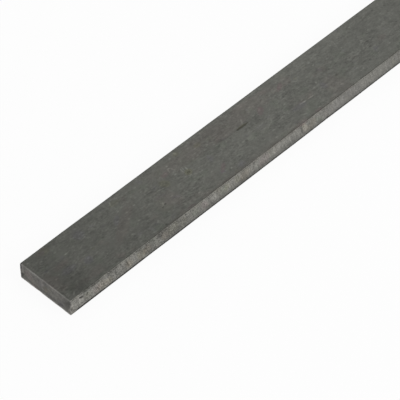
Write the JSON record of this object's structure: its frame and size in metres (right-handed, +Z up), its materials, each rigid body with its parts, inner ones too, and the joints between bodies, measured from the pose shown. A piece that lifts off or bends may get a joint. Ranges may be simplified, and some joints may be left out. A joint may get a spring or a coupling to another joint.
{
  "type": "steel flat bar",
  "caption": "Rectangular mild steel flat bar with rolled, slightly swelled long edges, small rounded corners and square-cut ends, for straps, brackets, frames and machining.",
  "frame": {"origin": "middle of the bottom face, halfway along the length and across the width", "axes": "+X along the length, +Y across the width, +Z up through the thickness, with the bar lying on a wide face"},
  "size_m": [0.3, 0.02, 0.006],
  "materials": {
    "mill_steel": "satin"
  },
  "bodies": {
    "root": {"flat_bar": "mill_steel"}
  },
  "joints": []
}
